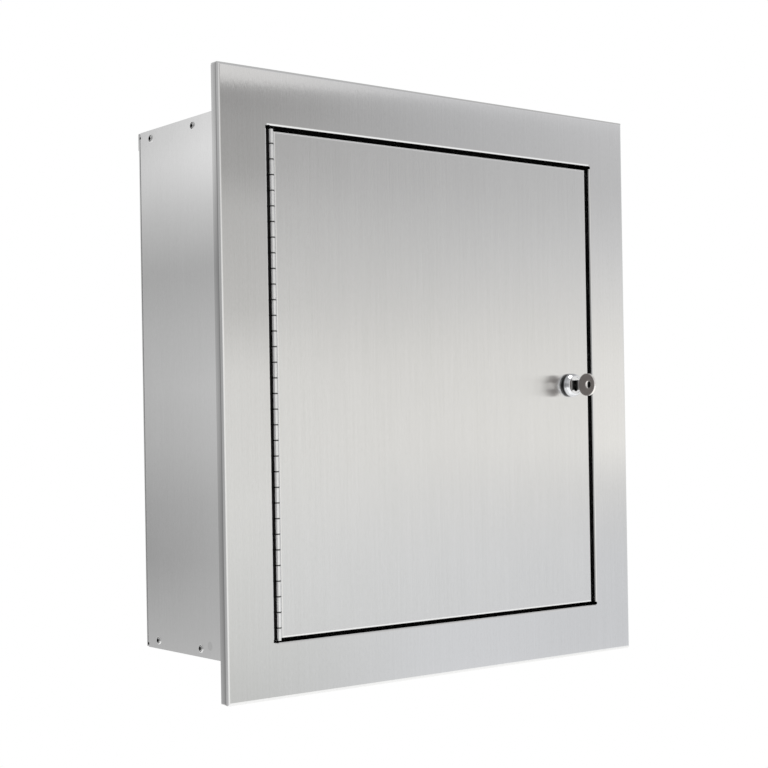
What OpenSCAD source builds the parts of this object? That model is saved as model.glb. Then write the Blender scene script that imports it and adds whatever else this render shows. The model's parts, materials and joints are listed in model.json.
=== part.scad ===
// Recessed medicine cabinet in brushed stainless steel: a riveted sheet box that goes into the
// wall, a trim frame that covers the edge of the hole, and a flush door on a continuous hinge
// with a cam lock and its key. Two lift-out shelves rest on clips in slotted standards.
//
// Frame: X to the right, Y towards the wall, Z up. The origin is the centre of the four wall
// screw holes, on the outer face of the back panel, so the front face is at y = -cabinet_depth.

/* [Box] */
// Width of the box that goes into the wall
box_w = 406.4; // [380:0.1:520]
// Height of the box
box_h = 457.2; // [420:0.1:620]
// From the trim's front face to the back panel's outer face
cabinet_depth = 177; // [140:0.5:240]
// Thickness of the box's sheet
box_t = 1.2; // [0.8:0.1:1.5]
// Width of the flanges that join the panels
box_flange = 14; // [12:0.5:16]

/* [Trim frame] */
// How far the trim reaches past the box on every side
trim_reach = 28; // [15:0.5:45]
// From the trim's outer edge to the door opening
trim_margin = 46.6; // [45:0.1:60]
// Thickness of the trim's and the door's sheet
face_t = 1.5; // [1.2:0.1:1.8]
// Depth of the trim's outer lip, front to back
lip_d = 8.9; // [6:0.1:14]
// Outside radius of the lip's bend
lip_bend = 2.8; // [2:0.1:3]
// Radius of the trim's four outer corners
trim_corner = 2; // [0.5:0.1:3]
// Outside radius of the bend around the opening
return_bend = 1.8; // [1.6:0.1:2]
// Depth of the returns inside the opening, front to back
return_d = 20.5; // [19:0.5:24]
// Width of the stop lip behind the door's edge
stop_w = 10; // [8:0.5:12]

/* [Door] */
// Gap between the left return and the door, where the hinge sits
hinge_gap = 6; // [5.8:0.1:6.4]
// Gap on the lock side
lock_gap = 5.4; // [4:0.1:7]
// Gap above the door
top_gap = 3.7; // [2.5:0.1:6]
// Gap below the door
bottom_gap = 2.8; // [2:0.1:5]
// Depth of the door pan
door_d = 16; // [12:0.5:16]
// Outside radius of the door's bends
door_bend = 2; // [1.8:0.1:2.4]

/* [Hinge] */
// Outside diameter of the knuckles
knuckle_d = 3.8; // [3.6:0.1:3.8]
// Length of one knuckle with its gap
knuckle_pitch = 12.7; // [10:0.1:20]
// Gap between two knuckles
knuckle_gap = 0.45; // [0.2:0.05:0.5]
// Diameter of the hinge pin
pin_d = 2; // [1.6:0.1:2.2]
// Thickness of the two leaves
leaf_t = 0.9; // [0.7:0.05:1]

/* [Lock] */
// From the door's lock edge to the lock's axis
lock_inset = 24.4; // [20:0.1:32]
// Height of the lock's axis above the cabinet's middle
lock_z = 0; // [-120:1:120]
// Diameter of the lock's collar on the door
lock_head_d = 22; // [21:0.5:26]
// How far the lock stands out of the door
lock_head_h = 8; // [7:0.5:9]
// Length of the cam from the lock's axis
cam_len = 29; // [27:0.5:31]
// Diameter of the key's round bow
bow_d = 21; // [18:0.5:24]
// Thickness of the key
key_t = 2; // [1.6:0.1:2.2]

/* [Shelves] */
// Height of the lower shelf above the cabinet's middle, in slots
lower_slot = -3; // [-5:1:-1]
// Height of the upper shelf above the cabinet's middle, in slots
upper_slot = 3; // [1:1:5]
// Distance between two slots
slot_pitch = 25.4; // [20:0.1:30]
// Thickness of the shelves' sheet
shelf_t = 1.2; // [1:0.1:1.5]

/* [Wall screws] */
// Distance between the holes across
screw_x = 304.8; // [200:0.1:340]
// Distance between the holes up and down
screw_z = 355.6; // [250:0.1:380]
// Diameter of the holes
screw_hole_d = 7; // [4:0.5:9]

/* [Hidden] */
$fn = 48;
eps = 0.01;

stainless = [0.74, 0.74, 0.74];
stainless_dark = [0.62, 0.62, 0.63];
chrome = [0.86, 0.87, 0.89];
brass = [0.78, 0.64, 0.36];
nickel = [0.56, 0.52, 0.50];
rubber = [0.12, 0.12, 0.12];

// A depth behind the front face, as a y in the frame
front = -cabinet_depth;
function behind(d) = front + d;

// Half sizes of the box, the trim and the opening
bx = box_w / 2;
bz = box_h / 2;
tx = bx + trim_reach;
tz = bz + trim_reach;
ox = tx - trim_margin;
oz = tz - trim_margin;

// Corner reliefs of the bends around the opening
relief_h = 2.5;
// Where the stop lip begins, and where its left end is clear of the hinge
stop_y = return_d - face_t;
stop_clear = 12;

// Edges of the door pan
door_x0 = -ox + hinge_gap;
door_x1 = ox - lock_gap;
door_z0 = -oz + bottom_gap;
door_z1 = oz - top_gap;

// Axis of the hinge: the door's leaf touches the door's return on its right
knuckle_r = knuckle_d / 2;
hinge_x = door_x0 - knuckle_r;
hinge_y = behind(0.4);
hinge_top = oz - 2.5;
hinge_len = 2 * oz - 3.8;
first_knuckle = 12;
knuckle_count = ceil((hinge_len - first_knuckle) / knuckle_pitch) + 1;
leaf_y1 = behind(15);
leaf_notch = knuckle_r + 0.4;
pin_r = pin_d / 2;
strip_y0 = behind(1.4);

// Hinge rivets: evenly spaced, the two leaves' rivets half a step apart
rivet_rows = 6;
rivet_step = 70;
rivet_y = behind(9.5);
rivet_r = 1.6;
rivet_fit = 0.05;

// Lock: a stack along Y from the door's face, negative towards the user
lock_x = door_x1 - lock_inset;
thread_r = 9;
thread_len = 20;
thread_flat = 8;
plug_r = 6.4;
plug_fit = 0.1;
plug_face_r = 7.5;
shank_w = 8;
shank_end = 24;
washer_t = 1;
nut_t = 4;
cam_t = 2;
cam_w = 16;
screw_r = 2;

// Key: bow in front of the lock, blade in the keyway
bow_y = -22.5;
bow_hole_r = 3.5;
bow_hole_y = -24.8;
blade_h = 8.2;
blade_tip = 12;
key_fit = 0.15;
wafer_t = 0.6;
wafer_w = 5.2;
wafer_pitch = 3.2;
wafer_first = -3.6;
wafer_count = 5;

// Side rivets
side_rivet_y = [14, 85, 156];
side_rivet_edge = 7.4;
side_rivet_r = 2;
side_head_r = 3.4;
side_flange_h = 15;

// Back rivets: height on the side flanges, distance from the middle on the top and bottom ones
back_rivet_z = [-150, 0, 150];
back_rivet_x = [-120, 0, 120];
back_head_r = 3;
back_side_x = bx - 8;
back_top_z = bz - 8;
back_low_z = -bz + 14;
// The back panel stops just short of the bottom edge, and the bottom's rear flange lies inside it
back_short = 0.6;
// The side panels' rear flanges stop short of the box's lower edge, with a relief slot there
rear_short = 3.8;
low_flange = 20;

// Shelf standards: channels welded to the side panels
standard_w = 14;
standard_d = 4.4;
standard_t = 1;
standard_z = bz - 24;
standard_y = [47, 145];
slot_w = 8;
slot_h = 3;
slot_rows = floor((standard_z - slot_h) / slot_pitch);
clip_t = 1.5;
clip_reach = 10;
clip_leg = 12;
shelf_x = bx - box_t - standard_d - 2.6;
shelf_y = [34, 168];
shelf_lip = 14;
shelf_rim = 12;
shelf_bend = 2;
shelf_rest = 0.1;

// ---- Shapes used more than once ----

// Block between two opposite corners
module span(lo, hi) {
    translate(lo) cube(hi - lo);
}

// Rectangle from y0 to y1 whose two corners at y0 are rounded
module front_rounded(w, y0, y1, r) {
    translate([-w / 2, y0 + r]) square([w, y1 - y0 - r]);
    translate([-w / 2 + r, y0]) square([w - 2 * r, r + eps]);
    for (s = [-1, 1])
        translate([s * (w / 2 - r), y0 + r]) circle(r);
}

// Block with all four front edges rounded, mitred at its corners
module bent_block(w, h, y0, y1, r) {
    intersection() {
        linear_extrude(h, center = true) front_rounded(w, y0, y1, r);
        rotate([0, 90, 0]) linear_extrude(w, center = true) front_rounded(h, y0, y1, r);
    }
}

// Pan of bent sheet, open at the back
module bent_pan(w, h, y0, y1, r, t) {
    difference() {
        bent_block(w, h, y0, y1, r);
        bent_block(w - 2 * t, h - 2 * t, y0 + t, y1 + 1, r - t + 0.2);
    }
}

// What is cut off a square corner to leave a bend of radius r. The corner is at the origin and
// the sheet lies on +x and +y.
module bend_cut(r) {
    difference() {
        translate([-1, -1]) square(r + 1);
        translate([r, r]) circle(r);
    }
}

// Cylinder along +Y from the given point
module y_rod(p, r, len) {
    translate(p) rotate([-90, 0, 0]) cylinder(h = len, r = r);
}

// Cylinder along +X from the given point
module x_rod(p, r, len) {
    translate(p) rotate([0, 90, 0]) cylinder(h = len, r = r);
}

// Blind rivet along +Z: domed head with a ring groove around the mandrel's hole, shank through
// the sheets, set tail
module blind_rivet(head_r, shank_r, grip) {
    head_h = head_r * 0.41;
    rim_h = head_r * 0.14;
    rise = head_h - rim_h;
    dome_r = (head_r * head_r + rise * rise) / (2 * rise);
    hole_r = shank_r * 0.7;
    tail_r = shank_r * 1.35;
    rotate_extrude()
        difference() {
            union() {
                intersection() {
                    translate([0, head_h - dome_r]) circle(dome_r, $fn = 96);
                    square([head_r, head_h]);
                }
                translate([0, -grip - 2]) square([shank_r, grip + 2 + eps]);
                translate([0, -grip - 2]) square([tail_r, 2]);
            }
            translate([-1, -grip]) square([1 + hole_r, grip + head_h + 1]);
            translate([head_r * 0.71, head_r * 0.29]) circle(head_r * 0.14);
        }
}

// Solid rivet along +Z: low head, shank, and a set tail of the same size
module solid_rivet(shank_r, grip, head_h) {
    head_r = shank_r * 1.7;
    cylinder(h = head_h, r1 = head_r, r2 = head_r * 0.8);
    translate([0, 0, -grip - head_h]) cylinder(h = grip + head_h + eps, r = shank_r);
    translate([0, 0, -grip - head_h]) cylinder(h = head_h, r1 = head_r * 0.8, r2 = head_r);
}

// ---- Trim frame ----

// Relief slots at the four corners of the opening
module opening_reliefs() {
    for (sx = [-1, 1], sz = [-1, 1])
        scale([sx, 1, sz])
            span([ox - 1, front - 1, oz - relief_h], [ox + face_t, behind(face_t) + 1, oz]);
}

// Rounded bends along the opening's four edges
module opening_bends() {
    for (s = [-1, 1]) {
        scale([s, 1, 1])
            translate([ox, front, 0]) linear_extrude(2 * (oz - relief_h), center = true)
                bend_cut(return_bend);
        scale([1, 1, s])
            translate([0, front, oz]) rotate([0, -90, 0])
                linear_extrude(2 * ox, center = true) bend_cut(return_bend);
    }
}

// Returns that turn back around the opening, and the stop lips that the door closes against
module opening_returns() {
    side_z = oz - relief_h;
    for (s = [-1, 1]) {
        scale([s, 1, 1])
            span([ox, behind(face_t / 2), -side_z], [ox + face_t, behind(return_d), side_z]);
        scale([1, 1, s]) {
            span([-ox, behind(face_t / 2), oz], [ox, behind(return_d), oz + face_t]);
            span([-ox + stop_clear, behind(stop_y), oz - stop_w],
                 [ox - stop_w - 1, behind(return_d), oz + eps]);
        }
    }
    span([ox - stop_w, behind(stop_y), -side_z], [ox + eps, behind(return_d), side_z]);
}

// Slab with the outline of the trim, its four corners rounded
module trim_outline() {
    r = trim_corner;
    rotate([90, 0, 0])
        linear_extrude(4 * cabinet_depth, center = true) {
            square([2 * (tx - r), 2 * tz], center = true);
            square([2 * tx, 2 * (tz - r)], center = true);
            for (sx = [-1, 1], sz = [-1, 1])
                translate([sx * (tx - r), sz * (tz - r)]) circle(r);
        }
}

// Open seams where the side lips meet the top and bottom lips
module lip_seams() {
    for (sx = [-1, 1], sz = [-1, 1])
        scale([sx, 1, sz])
            span([tx - face_t - 1, behind(lip_bend), tz - face_t - 0.4],
                 [tx + 1, behind(lip_d) + 1, tz - face_t]);
}

module trim_frame() {
    color(stainless)
        difference() {
            union() {
                difference() {
                    intersection() {
                        bent_pan(2 * tx, 2 * tz, front, behind(lip_d), lip_bend, face_t);
                        trim_outline();
                    }
                    span([-ox, front - 1, -oz], [ox, behind(lip_d) + 2, oz]);
                }
                opening_returns();
            }
            opening_reliefs();
            opening_bends();
            lip_seams();
            hinge_rivet_holes(0);
        }
}

// ---- Box ----

box_front = behind(face_t);
box_bend = 1.8;

// Right-hand side panel: a web with a flange bent inwards at the front and at the back
module side_panel() {
    flange_z = bz - box_flange - 1.6;
    rear_top = bz - 3.4;
    rear_low = -bz + rear_short;
    relief = 2;
    difference() {
        linear_extrude(box_h, center = true)
            difference() {
                translate([bx - box_flange, box_front])
                    square([box_flange, -box_t - box_front]);
                translate([bx - box_flange - 1, box_front + box_t])
                    square([box_flange + 1 - box_t, -3 * box_t - box_front]);
                translate([bx, box_front]) scale([-1, 1]) bend_cut(box_bend);
                translate([bx, -box_t]) scale([-1, -1]) bend_cut(box_bend);
            }
        // The front flange leaves room for the top and bottom panels' flanges
        for (s = [-1, 1])
            scale([1, 1, s])
                span([bx - box_flange - 1, box_front - 1, flange_z],
                     [bx - box_t - eps, box_front + box_t + 1, bz + 1]);
        // So does the rear flange, which ends in a relief slot at both ends
        span([bx - box_flange - 1, -3 * box_t, rear_top], [bx - box_t - eps, 0, bz + 1]);
        span([bx - box_flange - 1, -3 * box_t, -bz - 1], [bx - box_t - eps, 0, rear_low]);
        span([bx - box_t - 2, -3 * box_t, rear_top - relief], [bx + 1, 0, rear_top]);
        span([bx - box_t - 2, -3 * box_t, rear_low - relief], [bx + 1, 0, rear_low]);
        for (d = side_rivet_y, s = [-1, 1])
            x_rod([bx - 2 * box_t, behind(d), s * (bz - side_rivet_edge)],
                  side_rivet_r + rivet_fit, 3 * box_t);
        for (z = back_rivet_z)
            y_rod([back_side_x, -3 * box_t, z], rivet_r + rivet_fit, 3 * box_t);
    }
}

module left_side_panel() {
    color(stainless) scale([-1, 1, 1]) side_panel();
}

module right_side_panel() {
    color(stainless) side_panel();
}

// Flanges of an end panel, drawn for the top one: down the two sides, and down at the front
module end_panel_flanges() {
    inner = bx - box_t;
    for (s = [-1, 1])
        scale([s, 1, 1])
            difference() {
                span([inner - box_t, box_front + 2 * box_t, bz - side_flange_h],
                     [inner, -3 * box_t, bz]);
                for (d = side_rivet_y)
                    x_rod([inner - 2 * box_t, behind(d), bz - side_rivet_edge],
                          side_rivet_r + rivet_fit, 3 * box_t);
            }
    span([-inner + 3 * box_t, box_front, bz - box_flange],
         [inner - 3 * box_t, box_front + box_t, bz]);
}

module top_panel() {
    inner = bx - box_t;
    color(stainless)
        difference() {
            union() {
                end_panel_flanges();
                span([-inner, box_front, bz - box_t], [inner, box_t, bz]);
                span([-bx, 0, bz - side_flange_h], [bx, box_t, bz]);
            }
            translate([0, box_t, bz]) rotate([0, 90, 0])
                linear_extrude(box_w + 2, center = true) scale([1, -1]) bend_cut(box_bend);
            for (x = back_rivet_x)
                y_rod([x, -1, back_top_z], rivet_r + rivet_fit, box_t + 2);
        }
}

module bottom_panel() {
    inner = bx - box_t;
    rear_x = bx - box_flange - 0.4;
    color(stainless)
        difference() {
            union() {
                scale([1, 1, -1]) end_panel_flanges();
                span([-inner, box_front, -bz], [inner, -box_t, -bz + box_t]);
                span([-rear_x, -2 * box_t, -bz], [rear_x, -box_t, -bz + low_flange]);
            }
            translate([0, -box_t, -bz]) rotate([0, -90, 0])
                linear_extrude(box_w + 2, center = true) scale([1, -1]) bend_cut(box_bend);
            for (x = back_rivet_x)
                y_rod([x, -3 * box_t, back_low_z], rivet_r + rivet_fit, 3 * box_t);
        }
}

// Places of the back panel's rivets: x, z and the y that the head sits on
function back_rivets_at() = concat(
    [for (s = [-1, 1], z = back_rivet_z) [s * back_side_x, z, 0, 2 * box_t]],
    [for (x = back_rivet_x) [x, back_top_z, box_t, 2 * box_t]],
    [for (x = back_rivet_x) [x, back_low_z, 0, 2 * box_t]]
);

module back_panel() {
    color(stainless)
        difference() {
            span([-bx, -box_t, -bz + back_short], [bx, 0, bz - box_t - 0.1]);
            for (p = back_rivets_at())
                y_rod([p[0], -2 * box_t, p[1]], rivet_r + rivet_fit, 3 * box_t);
            for (sx = [-1, 1], sz = [-1, 1])
                y_rod([sx * screw_x / 2, -2 * box_t, sz * screw_z / 2],
                      screw_hole_d / 2, 3 * box_t);
        }
}

module side_rivets() {
    color(stainless_dark)
        for (sx = [-1, 1], sz = [-1, 1], d = side_rivet_y)
            translate([sx * bx, behind(d), sz * (bz - side_rivet_edge)])
                rotate([0, sx * 90, 0])
                    blind_rivet(side_head_r, side_rivet_r, 2 * box_t);
}

module back_rivets() {
    color(stainless_dark)
        for (p = back_rivets_at())
            translate([p[0], p[2], p[1]]) rotate([-90, 0, 0])
                blind_rivet(back_head_r, rivet_r, p[3]);
}

// ---- Shelves ----

// Slotted channel on the right-hand side panel, at depth d
module standard(d) {
    x1 = bx - box_t;
    x0 = x1 - standard_d;
    color(stainless_dark)
        difference() {
            span([x0, behind(d) - standard_w / 2, -standard_z],
                 [x1, behind(d) + standard_w / 2, standard_z]);
            span([x0 + standard_t, behind(d) - standard_w / 2 + standard_t, -standard_z - 1],
                 [x1 + 1, behind(d) + standard_w / 2 - standard_t, standard_z + 1]);
            for (i = [-slot_rows : slot_rows])
                translate([x0, behind(d), i * slot_pitch])
                    cube([4 * standard_t, slot_w, slot_h], center = true);
        }
}

module standard_front_left() {
    scale([-1, 1, 1]) standard(standard_y[0]);
}

module standard_rear_left() {
    scale([-1, 1, 1]) standard(standard_y[1]);
}

module standard_front_right() {
    standard(standard_y[0]);
}

module standard_rear_right() {
    standard(standard_y[1]);
}

// Clip at height z and depth d: a tongue through the slot, a hook behind it, and a leg that
// bears on the face of the standard
module shelf_clip(z, d) {
    face_x = bx - box_t - standard_d;
    hook_x = face_x + standard_t + 0.3;
    w = slot_w - 0.6;
    translate([0, behind(d), z]) {
        span([face_x - clip_reach, -w / 2, -clip_t], [hook_x + 1, w / 2, 0]);
        span([hook_x, -w / 2, -clip_t], [hook_x + 1, w / 2, 2.4]);
        span([face_x - 0.1 - clip_t, -w / 2, -clip_leg], [face_x - 0.1, w / 2, -clip_t + eps]);
    }
}

module shelf_clips() {
    color(stainless_dark)
        for (slot = [lower_slot, upper_slot], d = standard_y, s = [-1, 1])
            scale([s, 1, 1]) shelf_clip(slot * slot_pitch, d);
}

// Shelf whose underside is at height z: the front edge is bent down, the rear edge up
module shelf(z) {
    y0 = behind(shelf_y[0]);
    y1 = behind(shelf_y[1]);
    color(stainless)
        translate([0, 0, z])
            difference() {
                union() {
                    span([-shelf_x, y0, 0], [shelf_x, y1, shelf_t]);
                    span([-shelf_x, y0, shelf_t - shelf_lip], [shelf_x, y0 + shelf_t, shelf_t]);
                    span([-shelf_x, y1 - shelf_t, 0], [shelf_x, y1, shelf_rim]);
                }
                translate([0, y0, shelf_t]) rotate([0, 90, 0])
                    linear_extrude(2 * shelf_x + 2, center = true) bend_cut(shelf_bend);
                translate([0, y1, 0]) rotate([0, -90, 0])
                    linear_extrude(2 * shelf_x + 2, center = true)
                        scale([1, -1]) bend_cut(shelf_bend);
            }
}

module upper_shelf() {
    shelf(upper_slot * slot_pitch + shelf_rest);
}

module lower_shelf() {
    shelf(lower_slot * slot_pitch + shelf_rest);
}

// Black rubber seal on the stop lips, under the edges of the closed door: one strip on the lock
// side, one above and one below
module door_seal() {
    seal_y0 = behind(door_d + 0.3);
    seal_y1 = behind(stop_y);
    side_z = oz - relief_h;
    rim = 0.2;
    color(rubber) {
        span([ox - stop_w, seal_y0, -side_z], [ox - rim, seal_y1, side_z]);
        for (s = [-1, 1])
            scale([1, 1, s])
                span([-ox + stop_clear, seal_y0, oz - stop_w], [ox - stop_w - 1, seal_y1, oz - rim]);
    }
}

// ---- Hinge ----

// Edges of knuckle i, counted from the top: the first and the last are cut short
function knuckle_top(i) = i == 0 ? hinge_top : hinge_top - first_knuckle - (i - 1) * knuckle_pitch;
function knuckle_low(i) = max(knuckle_top(i + 1), hinge_top - hinge_len);

// Heights of one leaf's rivets: 0 is the frame's leaf and 1 the door's
function rivet_z(leaf) =
    [for (i = [0 : rivet_rows - 1]) (i - (rivet_rows - 1) / 2 + leaf / 2) * rivet_step - 17];

// Bores for one leaf's rivets, through everything around the hinge
module hinge_rivet_holes(leaf) {
    for (z = rivet_z(leaf))
        x_rod([-ox - 10, rivet_y, z], rivet_r + rivet_fit, 30);
}

// Tubes of one leaf's knuckles, without the pin's bore
module knuckles(leaf) {
    for (i = [leaf : 2 : knuckle_count - 1])
        translate([hinge_x, hinge_y, knuckle_low(i) + knuckle_gap / 2])
            cylinder(h = knuckle_top(i) - knuckle_low(i) - knuckle_gap, r = knuckle_r);
}

// Leaf with its knuckles. side is -1 for the frame's leaf and 1 for the door's.
module leaf(index, side, z0, z1) {
    x_out = hinge_x + side * knuckle_r;
    x_in = x_out - side * leaf_t;
    x_lo = min(x_out, x_in);
    x_hi = max(x_out, x_in);
    difference() {
        union() {
            knuckles(index);
            span([x_lo, hinge_y + leaf_notch, z0], [x_hi, leaf_y1, z1]);
            for (i = [index : 2 : knuckle_count - 1])
                span([x_lo, hinge_y, knuckle_low(i) + knuckle_gap / 2],
                     [x_hi, hinge_y + leaf_notch + eps, knuckle_top(i) - knuckle_gap / 2]);
        }
        translate([hinge_x, hinge_y, hinge_top - hinge_len - 1])
            cylinder(h = hinge_len + 2, r = pin_r + (index == 0 ? 0.01 : 0.06));
        hinge_rivet_holes(index);
    }
}

// Black strip that packs the frame's leaf out from the return
module hinge_backing_strip() {
    strip_z = oz - relief_h;
    color(rubber)
        difference() {
            span([-ox, strip_y0, -strip_z], [hinge_x - knuckle_r, behind(door_d), strip_z]);
            hinge_rivet_holes(0);
        }
}

module hinge_frame_leaf() {
    color(stainless) leaf(0, -1, hinge_top - hinge_len, hinge_top);
}

module hinge_door_leaf() {
    color(stainless) leaf(1, 1, door_z0 + 2.5, door_z1 - 2.5);
}

module hinge_pin() {
    color(stainless_dark)
        translate([hinge_x, hinge_y, hinge_top - hinge_len])
            cylinder(h = hinge_len, r = pin_r);
}

module hinge_frame_rivets() {
    head_x = hinge_x - knuckle_r + leaf_t;
    color(stainless_dark)
        for (z = rivet_z(0))
            translate([head_x, rivet_y, z]) rotate([0, 90, 0])
                solid_rivet(rivet_r, head_x + ox + face_t, 0.7);
}

module hinge_door_rivets() {
    head_x = hinge_x + knuckle_r - leaf_t;
    color(stainless_dark)
        for (z = rivet_z(1))
            translate([head_x, rivet_y, z]) rotate([0, -90, 0])
                solid_rivet(rivet_r, door_x0 + face_t - head_x, 0.7);
}

// ---- Door ----

// Hole or barrel of the lock: a circle with two flats, along +Y
module double_flat(r, flat, y0, y1) {
    intersection() {
        y_rod([0, y0, 0], r, y1 - y0);
        span([-flat, y0, -r - 1], [flat, y1, r + 1]);
    }
}

module at_lock() {
    translate([lock_x, front, lock_z]) children();
}

module door_panel() {
    w = door_x1 - door_x0;
    h = door_z1 - door_z0;
    color(stainless)
        difference() {
            translate([(door_x0 + door_x1) / 2, 0, (door_z0 + door_z1) / 2])
                bent_pan(w, h, front, behind(door_d), door_bend, face_t);
            at_lock() double_flat(thread_r + 0.1, thread_flat + 0.1, -1, face_t + 1);
            hinge_rivet_holes(1);
        }
}

// ---- Lock and key ----

// Solid of revolution about the lock's axis, from a profile of [radius, y]
module turned() {
    rotate([-90, 0, 0]) rotate_extrude($fn = 64) children();
}

// Housing: a straight collar against the door, a wall that draws in along a wide arc, a small
// round at the front, and the threaded barrel with its two flats
module lock_housing() {
    head_r = lock_head_d / 2;
    collar_d = 2.6;
    wall_r = 8;
    round_r = 1.2;
    face_y = -lock_head_h;
    // The front round touches both the face and the wall's arc from the inside
    drop = lock_head_h - collar_d - round_r;
    reach = wall_r - round_r;
    round_x = head_r - wall_r + sqrt(reach * reach - drop * drop);
    wall_end = collar_d + drop * wall_r / reach;
    color(chrome)
        at_lock()
            difference() {
                union() {
                    turned() {
                        translate([0, -collar_d]) square([head_r, collar_d]);
                        intersection() {
                            translate([head_r - wall_r, -collar_d]) circle(wall_r, $fn = 96);
                            translate([0, -wall_end]) square([head_r, wall_end - eps]);
                        }
                        translate([0, face_y]) square([round_x, lock_head_h]);
                        translate([round_x, face_y + round_r]) circle(round_r);
                    }
                    double_flat(thread_r, thread_flat, -0.1, thread_len);
                }
                y_rod([0, face_y - 1, 0], plug_face_r + plug_fit, 2.6);
                y_rod([0, face_y, 0], plug_r + plug_fit, thread_len + lock_head_h + 1);
            }
}

module lock_washer() {
    color(stainless_dark)
        at_lock()
            difference() {
                y_rod([0, face_t, 0], 12.5, washer_t);
                y_rod([0, 0, 0], thread_r + 0.2, face_t + 2 * washer_t);
            }
}

module lock_nut() {
    across_flats = 24;
    color(stainless_dark)
        at_lock()
            difference() {
                translate([0, face_t + washer_t, 0]) rotate([-90, 0, 0])
                    cylinder(h = nut_t, d = across_flats / cos(30), $fn = 6);
                y_rod([0, 0, 0], thread_r + 0.05, thread_len);
            }
}

// Outline of the key's blade, as a slot of the given clearance, from y0 to y1
module blade(y0, y1, fit) {
    half_h = blade_h / 2 + fit;
    half_t = key_t / 2 + fit;
    difference() {
        span([-half_t, y0, -half_h], [half_t, y1, half_h]);
        // Two wards, one on each side, that the blade's grooves pass
        for (s = [-1, 1])
            translate([s * half_t, (y0 + y1) / 2, s * blade_h / 5])
                cube([0.9 - fit, y1 - y0 + 2, 1.4 - 2 * fit], center = true);
    }
}

// Wide mouth that guides the blade into the plug, its sides cut into three notches
module keyway_mouth(y0, y1) {
    slot_half = 1.9;
    notch = 3.4;
    lobes = [-3.8, -0.6, 2.6];
    for (z = lobes)
        translate([0, y0, z]) {
            span([-slot_half, 0, -notch / 2 - eps], [slot_half, y1 - y0, notch / 2 + eps]);
            rotate([0, 45, 0]) span([-notch / 2, 0, -notch / 2], [notch / 2, y1 - y0, notch / 2]);
        }
}

function wafer_y(i) = wafer_first + i * wafer_pitch;

module lock_plug() {
    face_y = -lock_head_h + 0.4;
    color(chrome)
        at_lock()
            difference() {
                union() {
                    y_rod([0, face_y, 0], plug_face_r, 1.1);
                    y_rod([0, face_y + 1, 0], plug_r, thread_len + 0.2 - face_y - 1);
                    span([-shank_w / 2, thread_len, -shank_w / 2],
                         [shank_w / 2, shank_end, shank_w / 2]);
                }
                blade(face_y - 1, blade_tip + 1, key_fit);
                keyway_mouth(face_y - 1, face_y + 2.4);
                for (i = [0 : wafer_count - 1])
                    translate([0, wafer_y(i), 0])
                        cube([wafer_w + 0.2, wafer_t + 0.1, 20], center = true);
                y_rod([0, shank_end - 7, 0], screw_r + 0.05, 10);
            }
}

// Flat wafers in the plug's slots, each with a window that the blade passes
module lock_wafers() {
    color(brass)
        at_lock()
            for (i = [0 : wafer_count - 1])
                translate([0, wafer_y(i), 0])
                    difference() {
                        cube([wafer_w, wafer_t, 11.6], center = true);
                        cube([key_t + 0.8, 2, blade_h + 0.8], center = true);
                    }
}

module cam_stop_washer() {
    color(stainless_dark)
        at_lock()
            difference() {
                y_rod([0, thread_len + 0.3, 0], 8.6, 1.2);
                span([-shank_w / 2 - 0.05, thread_len, -shank_w / 2 - 0.05],
                     [shank_w / 2 + 0.05, thread_len + 3, shank_w / 2 + 0.05]);
            }
}

// Cam: a strip with round ends, pointing up while the door is free to swing
module lock_cam() {
    y0 = shank_end - cam_t;
    tip_r = 6;
    color(stainless_dark)
        at_lock()
            difference() {
                union() {
                    y_rod([0, y0, 0], cam_w / 2, cam_t);
                    span([-tip_r, y0, 0], [tip_r, y0 + cam_t, cam_len - tip_r]);
                    y_rod([0, y0, cam_len - tip_r], tip_r, cam_t);
                }
                span([-shank_w / 2 - 0.05, y0 - 1, -shank_w / 2 - 0.05],
                     [shank_w / 2 + 0.05, y0 + cam_t + 1, shank_w / 2 + 0.05]);
            }
}

// Pan-head screw that holds the cam on the plug's shank
module cam_screw() {
    head_r = 5.4;
    head_h = 2.4;
    color(stainless_dark)
        at_lock()
            difference() {
                union() {
                    y_rod([0, shank_end, 0], head_r, head_h);
                    y_rod([0, shank_end - 6, 0], screw_r, 6 + eps);
                }
                for (a = [0, 90])
                    translate([0, shank_end + head_h, 0]) rotate([0, a, 0])
                        cube([1, 2.4, 6], center = true);
            }
}

// Flat key: round bow with a hole, a neck that ends in three points, and a grooved blade with
// cuts along both edges
module key() {
    neck_h = 9.2;
    point = 2.1;
    cut_r = 1.1;
    cuts = [0.45, 0.7, 0.3, 0.6, 0.5];
    neck_end = -lock_head_h - 1.5;
    color(nickel)
        at_lock()
            difference() {
                union() {
                    translate([-key_t / 2, bow_y, 0]) rotate([0, 90, 0])
                        cylinder(h = key_t, r = bow_d / 2);
                    span([-key_t / 2, bow_y, -neck_h / 2], [key_t / 2, neck_end, neck_h / 2]);
                    for (i = [-1 : 1])
                        translate([0, neck_end, i * (neck_h - point) / 2]) rotate([45, 0, 0])
                            cube([key_t, point / sqrt(2), point / sqrt(2)], center = true);
                    blade(neck_end - 1, blade_tip, 0);
                }
                x_rod([-key_t, bow_hole_y, 0], bow_hole_r, 2 * key_t);
                for (i = [0 : wafer_count - 1], s = [-1, 1])
                    x_rod([-key_t, wafer_y(i), s * (blade_h / 2 + cut_r - cuts[i])],
                          cut_r, 2 * key_t);
                // Tip bevelled on both edges
                for (s = [-1, 1])
                    translate([0, blade_tip, s * blade_h / 2]) rotate([45, 0, 0])
                        cube([2 * key_t, 3.4, 3.4], center = true);
            }
}

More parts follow.
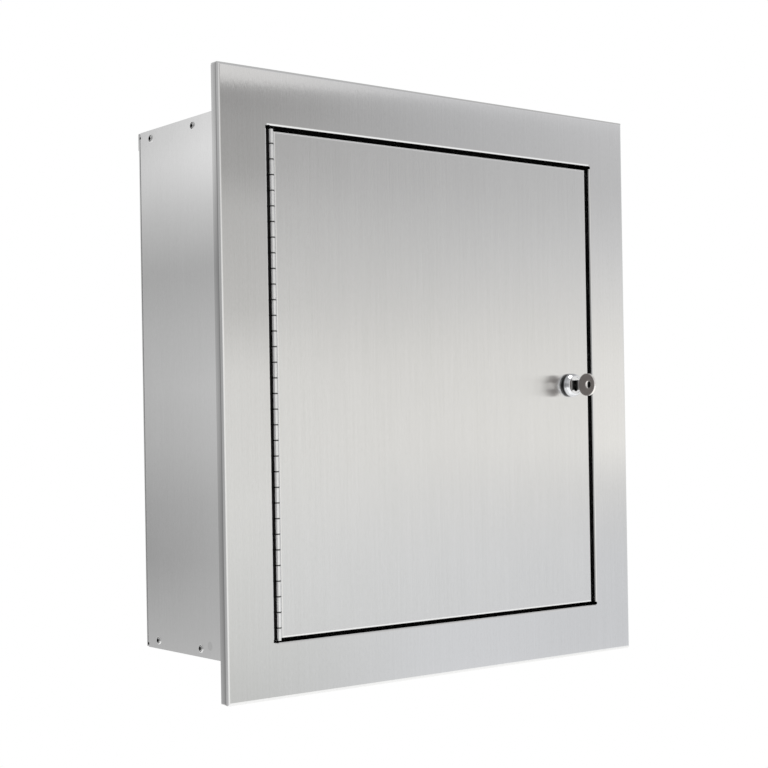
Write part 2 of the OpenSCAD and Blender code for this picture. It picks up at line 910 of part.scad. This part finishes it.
trim_frame();
left_side_panel();
right_side_panel();
top_panel();
bottom_panel();
back_panel();
side_rivets();
back_rivets();
standard_front_left();
standard_rear_left();
standard_front_right();
standard_rear_right();
shelf_clips();
upper_shelf();
lower_shelf();
door_seal();
hinge_backing_strip();
hinge_frame_leaf();
hinge_pin();
hinge_frame_rivets();
hinge_door_leaf();
hinge_door_rivets();
door_panel();
lock_housing();
lock_washer();
lock_nut();
lock_plug();
lock_wafers();
cam_stop_washer();
lock_cam();
cam_screw();
key();
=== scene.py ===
"""Recessed stainless-steel cabinet: finishes, light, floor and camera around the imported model.
Everything is in metres, in the model's own frame: X right, Y towards the wall, Z up."""
import json
import math

import bmesh
import bpy
from mathutils import Matrix, Vector


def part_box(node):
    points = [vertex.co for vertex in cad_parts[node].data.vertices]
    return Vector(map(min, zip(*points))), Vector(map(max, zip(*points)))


MM = 0.001

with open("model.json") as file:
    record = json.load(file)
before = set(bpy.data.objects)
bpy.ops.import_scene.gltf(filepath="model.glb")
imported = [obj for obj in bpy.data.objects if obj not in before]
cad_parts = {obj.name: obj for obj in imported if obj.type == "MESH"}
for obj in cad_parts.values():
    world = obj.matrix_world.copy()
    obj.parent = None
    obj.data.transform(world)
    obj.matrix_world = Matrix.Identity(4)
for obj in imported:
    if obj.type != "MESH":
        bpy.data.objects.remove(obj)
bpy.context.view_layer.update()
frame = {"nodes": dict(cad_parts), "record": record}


# ---------------------------------------------------------------- places taken from the frame

TRIM_LO, TRIM_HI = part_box("trim_frame")
HOUSING_LO, HOUSING_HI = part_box("lock_housing")
KEY_LO, KEY_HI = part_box("key")
SIDE_LO, SIDE_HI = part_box("left_side_panel")
PIN_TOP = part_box("hinge_pin")[1].z

LOCK_X = (HOUSING_LO.x + HOUSING_HI.x) / 2
LOCK_Y = HOUSING_LO.y
LOCK_Z = (HOUSING_LO.z + HOUSING_HI.z) / 2

# Face of the plug, a little behind the face of the lock, and the reach of its keyway's mouth
MOUTH_Y = LOCK_Y + 0.4 * MM
MOUTH_R = 6.0 * MM

# Where painted shade sets in: on the lock's collar, behind its face, and on the key's neck, in front of it
COLLAR_PAINTED_SHADE = (LOCK_Y + 4.4 * MM, LOCK_Y + 6.0 * MM)
NECK_PAINTED_SHADE = (LOCK_Y - 5.2 * MM, LOCK_Y - 2.2 * MM)

# Key: its round bow, and the hole in the bow, set towards the outer rim
BOW_R = (KEY_HI.z - KEY_LO.z) / 2
BOW_CENTRE = Vector((LOCK_X, KEY_LO.y + BOW_R, LOCK_Z))
BOW_HOLE_R = 3.5 * MM
HOLE_CENTRE = BOW_CENTRE - Vector((0, 2.3 * MM, 0))

# Trim's side lips: how far behind the trim's face their bend ends, and where their painted shade is lightest
LIP_BEND = 2.8 * MM
LIP_DEPTH = 8 * MM

# Side rivets: the front row's depth, the distance between rows, the height of both rows from the
# middle, how far the painted shade of the bore reaches out and up, and the radius of the groove in their
# heads
RIVET_FRONT_Y = TRIM_LO.y + 14 * MM
RIVET_STEP = 71 * MM
RIVET_Z = SIDE_HI.z - 7.4 * MM
RIVET_BORE_R = 1.7 * MM
RIVET_BORE_TOP = 1.3 * MM
RIVET_GROOVE_R = 2.41 * MM

# Hinge: height of the first joint between two knuckles, and the spacing of the joints
KNUCKLE_TOP = PIN_TOP - 12 * MM
KNUCKLE_PITCH = 12.7 * MM

# Discoloured spot of a weld, low on the left side panel
WELD_R = 4.2 * MM
SIDE_WELD = Vector((SIDE_LO.x, -106.6 * MM, SIDE_LO.z + 10.7 * MM))


# ---------------------------------------------------------------- node helpers

class Nodes:
    """A node tree, with short calls for the nodes that the finishes and the studio share."""

    def __init__(self, tree):
        self.tree = tree

    def node(self, kind, **settings):
        """A new node with its settings."""
        node = self.tree.nodes.new("ShaderNode" + kind)
        for name, value in settings.items():
            setattr(node, name, value)
        return node

    def link(self, value, socket):
        """Puts a number, a vector, a colour or another node's output into a socket."""
        if isinstance(value, bpy.types.NodeSocket):
            self.tree.links.new(value, socket)
        else:
            socket.default_value = value

    def fill(self, node, **values):
        """Fills a node's sockets, by name with underscores for spaces."""
        for name, value in values.items():
            self.link(value, node.inputs[name.replace("_", " ")])

    def math(self, operation, a, b=0.0, clamp=False):
        """Arithmetic with one or two numbers."""
        node = self.node("Math", operation=operation, use_clamp=clamp)
        self.link(a, node.inputs[0])
        self.link(b, node.inputs[1])
        return node.outputs[0]

    def span(self, value, lo, hi, to_lo=0.0, to_hi=1.0, smooth=False):
        """Maps a value from one range to another, held at both ends."""
        node = self.node("MapRange", interpolation_type="SMOOTHSTEP" if smooth else "LINEAR")
        self.fill(node, Value=value, From_Min=lo, From_Max=hi, To_Min=to_lo, To_Max=to_hi)
        return node.outputs["Result"]

    def mix(self, factor, a, b):
        """A number that goes from a to b."""
        node = self.node("Mix")
        self.fill(node, Factor=factor, A=a, B=b)
        return node.outputs["Result"]

    def blend(self, factor, a, b):
        """A colour that goes from a to b."""
        node = self.node("Mix", data_type="RGBA")
        self.fill(node, Factor=factor, A=a, B=b)
        return node.outputs["Result"]

    def scale(self, colour, factor):
        """A colour times a number."""
        node = self.node("VectorMath", operation="SCALE")
        self.link(colour, node.inputs[0])
        self.link(factor, node.inputs["Scale"])
        return node.outputs["Vector"]

    def times(self, a, b):
        """One colour times another."""
        node = self.node("VectorMath", operation="MULTIPLY")
        self.link(a, node.inputs[0])
        self.link(b, node.inputs[1])
        return node.outputs["Vector"]

    def axes(self, vector):
        """The X, Y and Z of a vector."""
        node = self.node("SeparateXYZ")
        self.link(vector, node.inputs[0])
        return node.outputs


class Shader(Nodes):
    """A new material's nodes, around its Principled shader."""

    def __init__(self, name):
        self.material = bpy.data.materials.new(name)
        self.material.use_nodes = True
        super().__init__(self.material.node_tree)
        self.bsdf = self.tree.nodes["Principled BSDF"]
        coordinates = self.node("TexCoord")
        self.place = coordinates.outputs["Object"]
        self.x, self.y, self.z = self.axes(self.place)
        self.normal_z = self.axes(coordinates.outputs["Normal"])["Z"]

    def set(self, **values):
        """Sets the Principled shader's own sockets."""
        self.fill(self.bsdf, **values)

    def noise(self, scale, detail=3.0, roughness=0.5, shift=(0, 0, 0)):
        """Noise over the object, with its own number of cells per metre along X, Y and Z."""
        mapping = self.node("Mapping")
        self.fill(mapping, Vector=self.place, Scale=scale, Location=shift)
        noise = self.node("TexNoise")
        self.fill(noise, Vector=mapping.outputs[0], Scale=1.0, Detail=detail, Roughness=roughness)
        return noise.outputs["Fac"]

    def grain(self, lying, across, along, detail):
        """Noise drawn out upright, or from side to side where the sheet is lying flat."""
        upright = self.noise((across, across, along), detail)
        return self.mix(lying, upright, self.noise((along, across, across), detail))

    def tint(self, factor, dark, light):
        """A colour that goes from dark to light."""
        return self.blend(factor, (*dark, 1), (*light, 1))

    def distance(self, point):
        """Distance from a point on the object, in metres."""
        node = self.node("VectorMath", operation="DISTANCE")
        self.link(self.place, node.inputs[0])
        self.link(point, node.inputs[1])
        return node.outputs["Value"]

    def bump(self, height, strength, depth):
        """Fine relief over the whole surface."""
        node = self.node("Bump")
        self.fill(node, Height=height, Strength=strength, Distance=depth)
        self.set(Normal=node.outputs[0])


# ---------------------------------------------------------------- finishes

def brushed_sheet(name, level=0.74, roughness=0.06, welds=(), lips=False):
    """Sheet with a fine upright grain, soft streaks and faint handling marks. If asked, its outer
    side lips get painted shade, darker than its face and most of all beside the bend, and the bend a painted
    highlight."""
    s = Shader(name)
    lying = s.math("GREATER_THAN", s.math("ABSOLUTE", s.normal_z), 0.7)
    fine = s.grain(lying, 2400, 260, 4)
    streak = s.grain(lying, 900, 14, 3)
    band = s.noise((60, 60, 1.2), 2, shift=(3, 1, 4))
    marks = s.noise((9, 9, 7), 4, 0.62, shift=(1, 5, 2))
    grain = s.math("ADD", s.math("MULTIPLY", fine, 0.6), s.math("MULTIPLY", streak, 0.3))
    grain = s.math("ADD", grain, s.math("MULTIPLY", band, 0.1))
    tone = s.math("ADD", s.math("MULTIPLY", grain, 0.8), s.math("MULTIPLY", marks, 0.2))
    dark = (level * 0.93, level * 0.93, level * 0.925)
    light = (level * 1.07, level * 1.07, level * 1.075)
    colour = s.tint(s.span(tone, 0.25, 0.75), dark, light)
    if lips:
        edge = s.math("ABSOLUTE", s.x)
        # Painted shade on the outer lips, darkest just behind the bend
        side = s.span(s.y, TRIM_LO.y + LIP_BEND, TRIM_LO.y + LIP_DEPTH, 0.54, 0.74)
        # Painted highlight along the bend
        bend = s.span(edge, TRIM_HI.x - 1.8 * MM, TRIM_HI.x - 0.9 * MM, 1.0, 1.28)
        on_side = s.span(edge, TRIM_HI.x - 0.3 * MM, TRIM_HI.x - 0.02 * MM)
        colour = s.scale(colour, s.mix(on_side, bend, side))
    for point in welds:
        colour = s.scale(colour, s.span(s.distance(point), WELD_R * 0.8, WELD_R, 0.88, 1.0, True))
    s.set(Metallic=1.0, Anisotropic=1.0, Base_Color=colour)
    polish = s.math("ADD", s.span(marks, 0.3, 0.7, -0.006, 0.01), s.span(grain, 0.3, 0.7, -0.008, 0.008))
    s.set(Roughness=s.math("ADD", polish, roughness))
    s.bump(s.grain(lying, 1500, 200, 2), 0.2, 0.03 * MM)
    return s.material


def set_rivet(name):
    """Rivet steel, with painted shade in the ring groove and the open bore of the side rivets' heads."""
    s = Shader(name)
    scuffs = s.noise((900, 900, 900), 4, 0.6)
    step = s.math("PINGPONG", s.math("SUBTRACT", s.y, RIVET_FRONT_Y), RIVET_STEP / 2)
    rise = s.math("SUBTRACT", s.math("ABSOLUTE", s.z), RIVET_Z)
    radius = s.math("SQRT", s.math("ADD", s.math("POWER", step, 2.0), s.math("POWER", rise, 2.0)))
    height = s.math("ADD", s.math("ABSOLUTE", s.x), SIDE_LO.x)
    # Painted shade inside the open bore
    inside = s.span(radius, RIVET_BORE_R, RIVET_BORE_R + 0.1 * MM, 1, 0)
    bore = s.math("MULTIPLY", inside, s.span(height, RIVET_BORE_TOP, RIVET_BORE_TOP + 0.2 * MM, 1, 0))
    # Painted shade in the ring groove
    off_ring = s.math("ABSOLUTE", s.math("SUBTRACT", radius, RIVET_GROOVE_R))
    groove = s.span(off_ring, 0.24 * MM, 0.50 * MM, 0.85, 0, True)
    grime = s.math("MAXIMUM", bore, groove)
    tone = s.math("MULTIPLY", s.span(scuffs, 0.3, 0.7, 0.9, 1.08), s.span(grime, 0, 1, 1, 0))
    s.set(Metallic=1.0, Base_Color=s.scale(s.tint(scuffs, (0.76, 0.76, 0.76), (0.84, 0.84, 0.84)), tone))
    s.set(Roughness=s.span(grime, 0, 1, 0.20, 0.6))
    s.bump(scuffs, 0.15, 0.02 * MM)
    return s.material


def drawn_steel(name, level, roughness, joints=False):
    """Smooth drawn or rolled stainless, with short scuffs and slightly duller patches, and if asked
    with painted shade in the joints between the hinge's knuckles."""
    s = Shader(name)
    scuffs = s.noise((900, 900, 900), 4, 0.6)
    patches = s.noise((120, 120, 60), 3, shift=(2, 2, 2))
    tone = s.math("ADD", s.math("MULTIPLY", scuffs, 0.5), s.math("MULTIPLY", patches, 0.5))
    s.set(Metallic=1.0, Anisotropic=0.3)
    colour = s.tint(s.span(tone, 0.3, 0.7), (level * 0.9,) * 3, (level * 1.08,) * 3)
    if joints:
        # Painted shade: dark bands at the joints between the knuckles
        off = s.math("PINGPONG", s.math("SUBTRACT", KNUCKLE_TOP, s.z), KNUCKLE_PITCH / 2)
        colour = s.scale(colour, s.span(off, 0.3 * MM, 0.75 * MM, 0.05, 1.0, True))
    s.set(Base_Color=colour)
    s.set(Roughness=s.span(tone, 0.3, 0.7, roughness + 0.06, roughness - 0.05))
    s.bump(scuffs, 0.15, 0.02 * MM)
    return s.material


def zinc_plate(name):
    """Zinc plate: a cool gray with a faint bluish and straw mottle."""
    s = Shader(name)
    mottle = s.noise((500, 500, 500), 5, 0.6)
    hue = s.noise((160, 160, 160), 2, shift=(4, 0, 1))
    s.set(Metallic=1.0)
    s.set(Base_Color=s.tint(s.span(hue, 0.35, 0.65), (0.62, 0.65, 0.70), (0.74, 0.72, 0.66)))
    s.set(Roughness=s.span(mottle, 0.3, 0.7, 0.26, 0.42))
    s.bump(mottle, 0.2, 0.03 * MM)
    return s.material


def chrome_plate(name):
    """Polished chrome plate with hairline scratches and soft smudges, darkened with painted shade
    where the collar meets the door and inside the keyway's mouth."""
    s = Shader(name)
    hairlines = s.noise((300, 4000, 300), 3)
    smudges = s.noise((250, 250, 250), 3, shift=(7, 3, 1))
    plate = s.tint(s.span(smudges, 0.35, 0.7), (0.70, 0.71, 0.73), (0.82, 0.83, 0.85))
    # Painted shade: the collar turns dark towards the door
    collar = s.span(s.y, *COLLAR_PAINTED_SHADE, 1.0, 0.04, True)
    # Painted shade: the keyway's mouth turns dark inside
    within = s.span(s.distance(Vector((LOCK_X, MOUTH_Y, LOCK_Z))), MOUTH_R, MOUTH_R + 0.3 * MM, 1, 0)
    mouth = s.math("MULTIPLY", within, s.span(s.y, MOUTH_Y + 0.1 * MM, MOUTH_Y + 0.4 * MM))
    tone = s.math("MULTIPLY", collar, s.span(mouth, 0, 1, 1.0, 0.04))
    s.set(Metallic=1.0, Base_Color=s.scale(plate, tone))
    worn = s.math("ADD", s.span(smudges, 0.4, 0.7, 0.05, 0.14), s.span(hairlines, 0.55, 0.75, 0, 0.06))
    s.set(Roughness=worn)
    s.bump(hairlines, 0.08, 0.01 * MM)
    return s.material


def key_nickel(name):
    """Dull nickel plate over brass, its dark tone a painted reflection of the dark surroundings.
    Worn bright, with a painted highlight, along the bow's rim and around its hole, and darkened
    with painted shade where the neck nears the lock."""
    s = Shader(name)
    grime = s.noise((700, 700, 700), 5, 0.65)
    scratches = s.noise((5000, 500, 1500), 2, shift=(1, 1, 1))
    # Wear and painted highlight: the bow's rim turns bright
    rim = s.span(s.distance(BOW_CENTRE), BOW_R - 0.7 * MM, BOW_R - 0.1 * MM, 0, 1, True)
    wear = s.math("ADD", rim, s.span(scratches, 0.62, 0.75, 0, 0.35), clamp=True)
    # Wear and painted highlight: a bright ring around the bow's hole
    hole = s.span(s.distance(HOLE_CENTRE), BOW_HOLE_R + 0.1 * MM, BOW_HOLE_R + 0.5 * MM, 0.8, 0, True)
    wear = s.math("MAXIMUM", wear, hole)
    # Painted reflection: the dark tone stands in for the dark surroundings seen in the bow
    colour = s.tint(wear, (0.33, 0.30, 0.285), (0.86, 0.83, 0.80))
    # Painted shade: the neck darkens towards the lock
    s.set(Metallic=1.0, Base_Color=s.scale(colour, s.span(s.y, *NECK_PAINTED_SHADE, 1.0, 0.03, True)))
    s.set(Roughness=s.math("SUBTRACT", s.span(grime, 0.3, 0.7, 0.30, 0.46), s.math("MULTIPLY", wear, 0.16)))
    s.bump(grime, 0.25, 0.03 * MM)
    return s.material


def stamped_brass(name):
    """Plain brass wafers, slightly tarnished in patches."""
    s = Shader(name)
    tarnish = s.noise((400, 400, 400), 4, 0.6)
    s.set(Metallic=1.0)
    s.set(Base_Color=s.tint(s.span(tarnish, 0.3, 0.7), (0.50, 0.36, 0.16), (0.80, 0.64, 0.34)))
    s.set(Roughness=s.span(tarnish, 0.3, 0.7, 0.42, 0.26))
    s.bump(tarnish, 0.2, 0.02 * MM)
    return s.material


def black_nylon_gap_shade(name):
    """Moulded black nylon with a fine satin texture. Painted shade: its black stands in for the shade in the
    gap beside the hinge.
    """
    s = Shader(name)
    texture = s.noise((3000, 3000, 3000), 3)
    dust = s.noise((200, 200, 60), 4, 0.6, shift=(5, 2, 8))
    s.set(Base_Color=s.tint(s.span(dust, 0.5, 0.8), (0.004, 0.004, 0.004), (0.012, 0.012, 0.012)))
    s.set(Roughness=s.span(texture, 0.3, 0.7, 0.6, 0.75), Specular_IOR_Level=0.05)
    s.bump(texture, 0.3, 0.05 * MM)
    return s.material


def black_rubber_gap_shade(name):
    """Matte black rubber, with fine pores and a little dust. Painted shade: its black and faint sheen stand
    in for the shade deep in the door's gaps.
    """
    s = Shader(name)
    pores = s.noise((2200, 2200, 2200), 4, 0.7)
    dust = s.noise((150, 150, 150), 4, 0.6, shift=(2, 9, 4))
    s.set(Base_Color=s.tint(s.span(dust, 0.5, 0.8), (0.005, 0.005, 0.005), (0.016, 0.016, 0.016)))
    s.set(Roughness=s.span(pores, 0.3, 0.7, 0.75, 0.9), Specular_IOR_Level=0.1)
    s.bump(pores, 0.4, 0.08 * MM)
    return s.material


def pale_paint(name, glow):
    """Pale matte floor paint, unevenly worn, with a faint glow of its own."""
    s = Shader(name)
    wear = s.noise((3, 3, 3), 3)
    s.set(Base_Color=s.tint(wear, (0.84, 0.84, 0.83), (0.90, 0.90, 0.89)), Roughness=0.7)
    s.set(Emission_Color=(1, 1, 1, 1), Emission_Strength=glow)
    return s.material


# Finish of each of the record's material slots
FINISHES = {
    "brushed_sheet": brushed_sheet("brushed_sheet"),
    "hinge_steel": drawn_steel("hinge_steel", 0.78, 0.30, joints=True),
    "rivet_steel": drawn_steel("rivet_steel", 0.70, 0.26),
    "rail_steel": drawn_steel("rail_steel", 0.66, 0.34),
    "zinc_hardware": zinc_plate("zinc_hardware"),
    "lock_chrome": chrome_plate("lock_chrome"),
    "wafer_brass": stamped_brass("wafer_brass"),
    "key_nickel": key_nickel("key_nickel"),
    "strip_plastic": black_nylon_gap_shade("strip_plastic"),
    "seal_rubber": black_rubber_gap_shade("seal_rubber"),
}

# Nodes with a finish of their own instead
side_sheet = brushed_sheet("brushed_side_sheet", roughness=0.07, welds=[SIDE_WELD])
OWN_FINISHES = {
    "left_side_panel": side_sheet,
    "right_side_panel": side_sheet,
    "trim_frame": brushed_sheet("brushed_trim_sheet", lips=True),
    "door_panel": brushed_sheet("brushed_door_sheet", roughness=0.15),
    "side_rivets": set_rivet("side_rivet_steel"),
    # Painted shade: the pin is made nearly black so that the joints between knuckles read dark
    "hinge_pin": drawn_steel("pin_steel_painted_shade", 0.12, 0.45),
}


def paint(obj, material):
    """Gives a whole object one material."""
    obj.data.materials.clear()
    obj.data.materials.append(material)


for subpart in frame["record"]["subparts"]:
    node_name = subpart["node"]
    finish = OWN_FINISHES.get(node_name, FINISHES[subpart["material_slot"]])
    paint(frame["nodes"][node_name], finish)


# ---------------------------------------------------------------- studio

# The studio as the steel sees it: for each heading, brightness by height over distance. A heading
# is in degrees from straight out of the door towards the right; a stop is (height, brightness).
STUDIO = [
    (-180, [(-0.3, 0.90), (0.5, 0.75)]),
    (-170, [(-0.3, 0.90), (0.5, 0.75)]),
    (-160, [(-0.6, 0.80), (-0.31, 0.46), (-0.217, 0.36), (-0.122, 0.40), (0.065, 0.52),
            (0.255, 0.46), (0.351, 0.60), (0.442, 0.80), (0.49, 0.66), (0.6, 0.7)]),
    (-151, [(-0.6, 0.80), (-0.31, 0.50), (-0.217, 0.385), (-0.122, 0.43), (-0.026, 0.52),
            (0.065, 0.565), (0.161, 0.56), (0.255, 0.485), (0.351, 0.60), (0.403, 0.70),
            (0.442, 0.74), (0.49, 0.64), (0.6, 0.8)]),
    (-147, [(-0.6, 0.80), (-0.31, 0.60), (-0.217, 0.60), (-0.122, 0.61), (-0.026, 0.71),
            (0.065, 0.76), (0.161, 0.64), (0.255, 0.54), (0.351, 0.82), (0.403, 1.06),
            (0.442, 1.15), (0.49, 1.00), (0.6, 0.8)]),
    (-139, [(-0.6, 0.80), (-0.31, 0.50), (-0.122, 0.47), (0.065, 0.50), (0.255, 0.50),
            (0.442, 0.90), (0.6, 0.8)]),
    (-118, [(-0.6, 0.80), (-0.2, 0.38), (0.05, 0.36), (0.36, 0.42), (0.52, 0.60)]),
    (-50, [(-0.6, 0.80), (-0.2, 0.40), (0.1, 0.34), (0.36, 0.44), (0.6, 0.60)]),
    (-32, [(-0.6, 1.20), (-0.2, 0.60), (0.15, 0.50), (0.26, 0.55), (0.6, 0.70)]),
    (-15, [(-0.4, 1.30), (-0.2, 1.15), (0.15, 1.05), (0.26, 0.90), (0.6, 0.90)]),
    (20, [(-0.4, 1.30), (-0.2, 1.00), (0.05, 0.95), (0.15, 0.64), (0.235, 0.42), (0.25, 0.38),
          (0.26, 0.44)]),
    (32, [(-0.4, 1.30), (-0.22, 0.66), (-0.14, 0.80), (-0.06, 0.88), (0.04, 0.84), (0.09, 0.63),
          (0.13, 0.60), (0.166, 0.58), (0.195, 0.46), (0.236, 0.41), (0.246, 0.37), (0.253, 0.37),
          (0.26, 0.42)]),
    (40, [(-0.4, 1.30), (-0.2, 0.84), (-0.137, 0.85), (-0.1, 0.89), (-0.02, 0.88), (0.05, 0.84),
          (0.09, 0.80), (0.128, 0.74), (0.166, 0.66), (0.194, 0.60), (0.213, 0.57), (0.25, 0.56),
          (0.27, 0.60)]),
    (46.7, [(-0.4, 1.20), (-0.2, 0.77), (-0.1, 0.77), (-0.06, 0.84), (-0.02, 1.02), (0.05, 0.99),
            (0.13, 0.84), (0.166, 0.76), (0.195, 0.70), (0.213, 0.67), (0.272, 0.68)]),
    (75, [(-0.3, 0.95), (0.3, 0.85), (0.6, 0.90)]),
    (115, [(-0.3, 1.30), (0.6, 1.35)]),
    (130, [(-0.3, 0.90), (0.5, 0.70)]),
    (180, [(-0.3, 0.90), (0.5, 0.75)]),
]
STUDIO_REACH = 0.6

# Above a sharp edge, the wall in front of the door is evenly lit: (heading, height of the edge,
# brightness above it). The edge fades in and out between the headings of EDGE_FADE.
EDGE_LEFT = (32, 0.2603, 0.86)
EDGE_RIGHT = (40, 0.2705, 0.79)
EDGE_WIDTH = 0.004
EDGE_FADE = (-25, 5, 60, 80)

# The walls turn into the ceiling, and the same far down into the floor, between these heights
CEILING = (0.8, 1.2)
CEILING_LEVEL = 0.60
FLOOR_LEVEL = 1.2

# Faint hues of the front wall by height, at its left and at its right
HUES_LEFT = [(-0.25, (1.000, 1.010, 0.985)), (0.05, (1.015, 1.005, 0.975)), (0.28, (1.015, 1.000, 0.985))]
HUES_RIGHT = [(-0.25, (0.980, 0.995, 1.025)), (-0.12, (0.985, 0.995, 1.015)), (-0.02, (1.020, 1.005, 0.970)),
              (0.07, (1.020, 1.005, 0.970)), (0.16, (1.000, 0.998, 1.000)), (0.28, (0.995, 0.995, 1.010))]

# How much further off the side walls and the rear wall are than the front wall
SIDE_WALLS = 1.3
REAR_WALL = 3.0

WHITE = (1, 1, 1, 1)


class Sky(Nodes):
    """The world's nodes."""

    def gray(self, level):
        """A number as a gray colour."""
        node = self.node("CombineColor")
        self.fill(node, Red=level, Green=level, Blue=level)
        return node.outputs["Color"]

    def ramp(self, factor, stops):
        """A colour by height, from stops of brightness or of hue."""
        node = self.node("ValToRGB")
        self.link(factor, node.inputs["Fac"])
        elements = node.color_ramp.elements
        while len(elements) < len(stops):
            elements.new(0.5)
        for element, (height, level) in zip(elements, stops):
            element.position = (height / STUDIO_REACH + 1) / 2
            hue = level if isinstance(level, tuple) else (level, level, level)
            element.color = (*hue, 1)
        return node.outputs["Color"]


def walls_around(sky, heading, height):
    """The studio's walls, blended from heading to heading."""
    walls = sky.ramp(height, STUDIO[0][1])
    for (start, _), (end, stops) in zip(STUDIO, STUDIO[1:]):
        turned = sky.span(heading, math.radians(start), math.radians(end))
        walls = sky.blend(turned, walls, sky.ramp(height, stops))
    return walls


def front_wall(sky, walls, heading, height, rise):
    """Adds the sharp edge and the faint hues of the wall in front of the door."""
    (left, left_edge, left_level), (right, right_edge, right_level) = EDGE_LEFT, EDGE_RIGHT
    left, right = math.radians(left), math.radians(right)
    edge = sky.span(heading, left, right, left_edge, right_edge)
    above = sky.span(sky.math("DIVIDE", sky.math("SUBTRACT", rise, edge), EDGE_WIDTH), -0.5, 0.5)
    fade_in, full_in, full_out, fade_out = (math.radians(turn) for turn in EDGE_FADE)
    faced = sky.math("MULTIPLY", sky.span(heading, fade_in, full_in),
                     sky.span(heading, full_out, fade_out, 1, 0))
    upper = sky.gray(sky.span(heading, left, right, left_level, right_level))
    walls = sky.blend(sky.math("MULTIPLY", above, faced), walls, upper)
    across = sky.span(heading, left, right)
    hues = sky.blend(across, sky.ramp(height, HUES_LEFT), sky.ramp(height, HUES_RIGHT))
    return sky.times(walls, sky.blend(faced, WHITE, hues))


def studio_light():
    """The studio around the cabinet: a pale room, seen in the steel as soft bands of light. The
    camera itself sees plain white."""
    world = bpy.data.worlds.new("studio")
    bpy.context.scene.world = world
    world.use_nodes = True
    sky = Sky(world.node_tree)
    x, y, z = sky.axes(sky.node("TexCoord").outputs["Generated"])
    front = sky.math("MULTIPLY", y, -1.0)
    side = sky.math("DIVIDE", sky.math("ABSOLUTE", x), SIDE_WALLS)
    rear = sky.math("DIVIDE", y, REAR_WALL)
    reach = sky.math("MAXIMUM", sky.math("MAXIMUM", front, side), sky.math("MAXIMUM", rear, 0.001))
    rise = sky.math("DIVIDE", z, reach)
    height = sky.span(rise, -STUDIO_REACH, STUDIO_REACH)
    heading = sky.math("ARCTAN2", x, front)
    room = front_wall(sky, walls_around(sky, heading, height), heading, height, rise)
    room = sky.blend(sky.span(rise, *CEILING), room, sky.gray(CEILING_LEVEL))
    room = sky.blend(sky.span(rise, -CEILING[1], -CEILING[0], 1, 0), room, sky.gray(FLOOR_LEVEL))
    seen = sky.node("LightPath").outputs["Is Camera Ray"]
    sky.link(sky.blend(seen, room, WHITE), sky.tree.nodes["Background"].inputs["Color"])


OVERHEAD_PLACE = (0, -0.3, 1.8)
OVERHEAD_WIDTH = 0.8
OVERHEAD_WATTS = 16


def overhead_light():
    """A soft square light above the cabinet, for the floor and the tops."""
    data = bpy.data.lights.new("overhead", "AREA")
    data.size = OVERHEAD_WIDTH
    data.energy = OVERHEAD_WATTS
    light = bpy.data.objects.new("overhead", data)
    light.location = OVERHEAD_PLACE
    bpy.context.scene.collection.objects.link(light)


FLOOR_Z = -1.25
FLOOR_R = 3.2
FLOOR_SIDES = 96
FLOOR_GLOW = 0.5


def pale_floor():
    """A pale round floor, well below the wall unit."""
    mesh = bpy.data.meshes.new("floor")
    form = bmesh.new()
    bmesh.ops.create_circle(form, cap_ends=True, segments=FLOOR_SIDES, radius=FLOOR_R)
    form.to_mesh(mesh)
    form.free()
    floor = bpy.data.objects.new("floor", mesh)
    floor.location = (0, 0, FLOOR_Z)
    bpy.context.scene.collection.objects.link(floor)
    paint(floor, pale_paint("pale_floor", FLOOR_GLOW))


# ---------------------------------------------------------------- camera

CAMERA_FROM_CORNER = Vector((-0.6601, -1.0573, 0.2214))
CAMERA_YAW = math.radians(38.7445)
CAMERA_PITCH = math.radians(-0.03)
CAMERA_ROLL = math.radians(-0.9505)
CAMERA_LENS = 73.215
CAMERA_SHIFT = (-0.03125, 0.0547)


def set_camera():
    """A long lens, left of the cabinet and level with it, placed off the trim's lower left corner."""
    forward = Vector((
        math.sin(CAMERA_YAW) * math.cos(CAMERA_PITCH),
        math.cos(CAMERA_YAW) * math.cos(CAMERA_PITCH),
        math.sin(CAMERA_PITCH),
    ))
    level = Vector((math.cos(CAMERA_YAW), -math.sin(CAMERA_YAW), 0))
    upright = level.cross(forward)
    right = level * math.cos(CAMERA_ROLL) + upright * math.sin(CAMERA_ROLL)
    up = upright * math.cos(CAMERA_ROLL) - level * math.sin(CAMERA_ROLL)
    data = bpy.data.cameras.new("camera")
    data.lens = CAMERA_LENS
    data.shift_x, data.shift_y = CAMERA_SHIFT
    camera = bpy.data.objects.new("camera", data)
    turn = Matrix((right, up, -forward)).transposed().to_4x4()
    camera.matrix_world = Matrix.Translation(TRIM_LO + CAMERA_FROM_CORNER) @ turn
    bpy.context.scene.collection.objects.link(camera)
    bpy.context.scene.camera = camera


studio_light()
overhead_light()
pale_floor()
set_camera()
bpy.context.scene.view_settings.view_transform = "Standard"
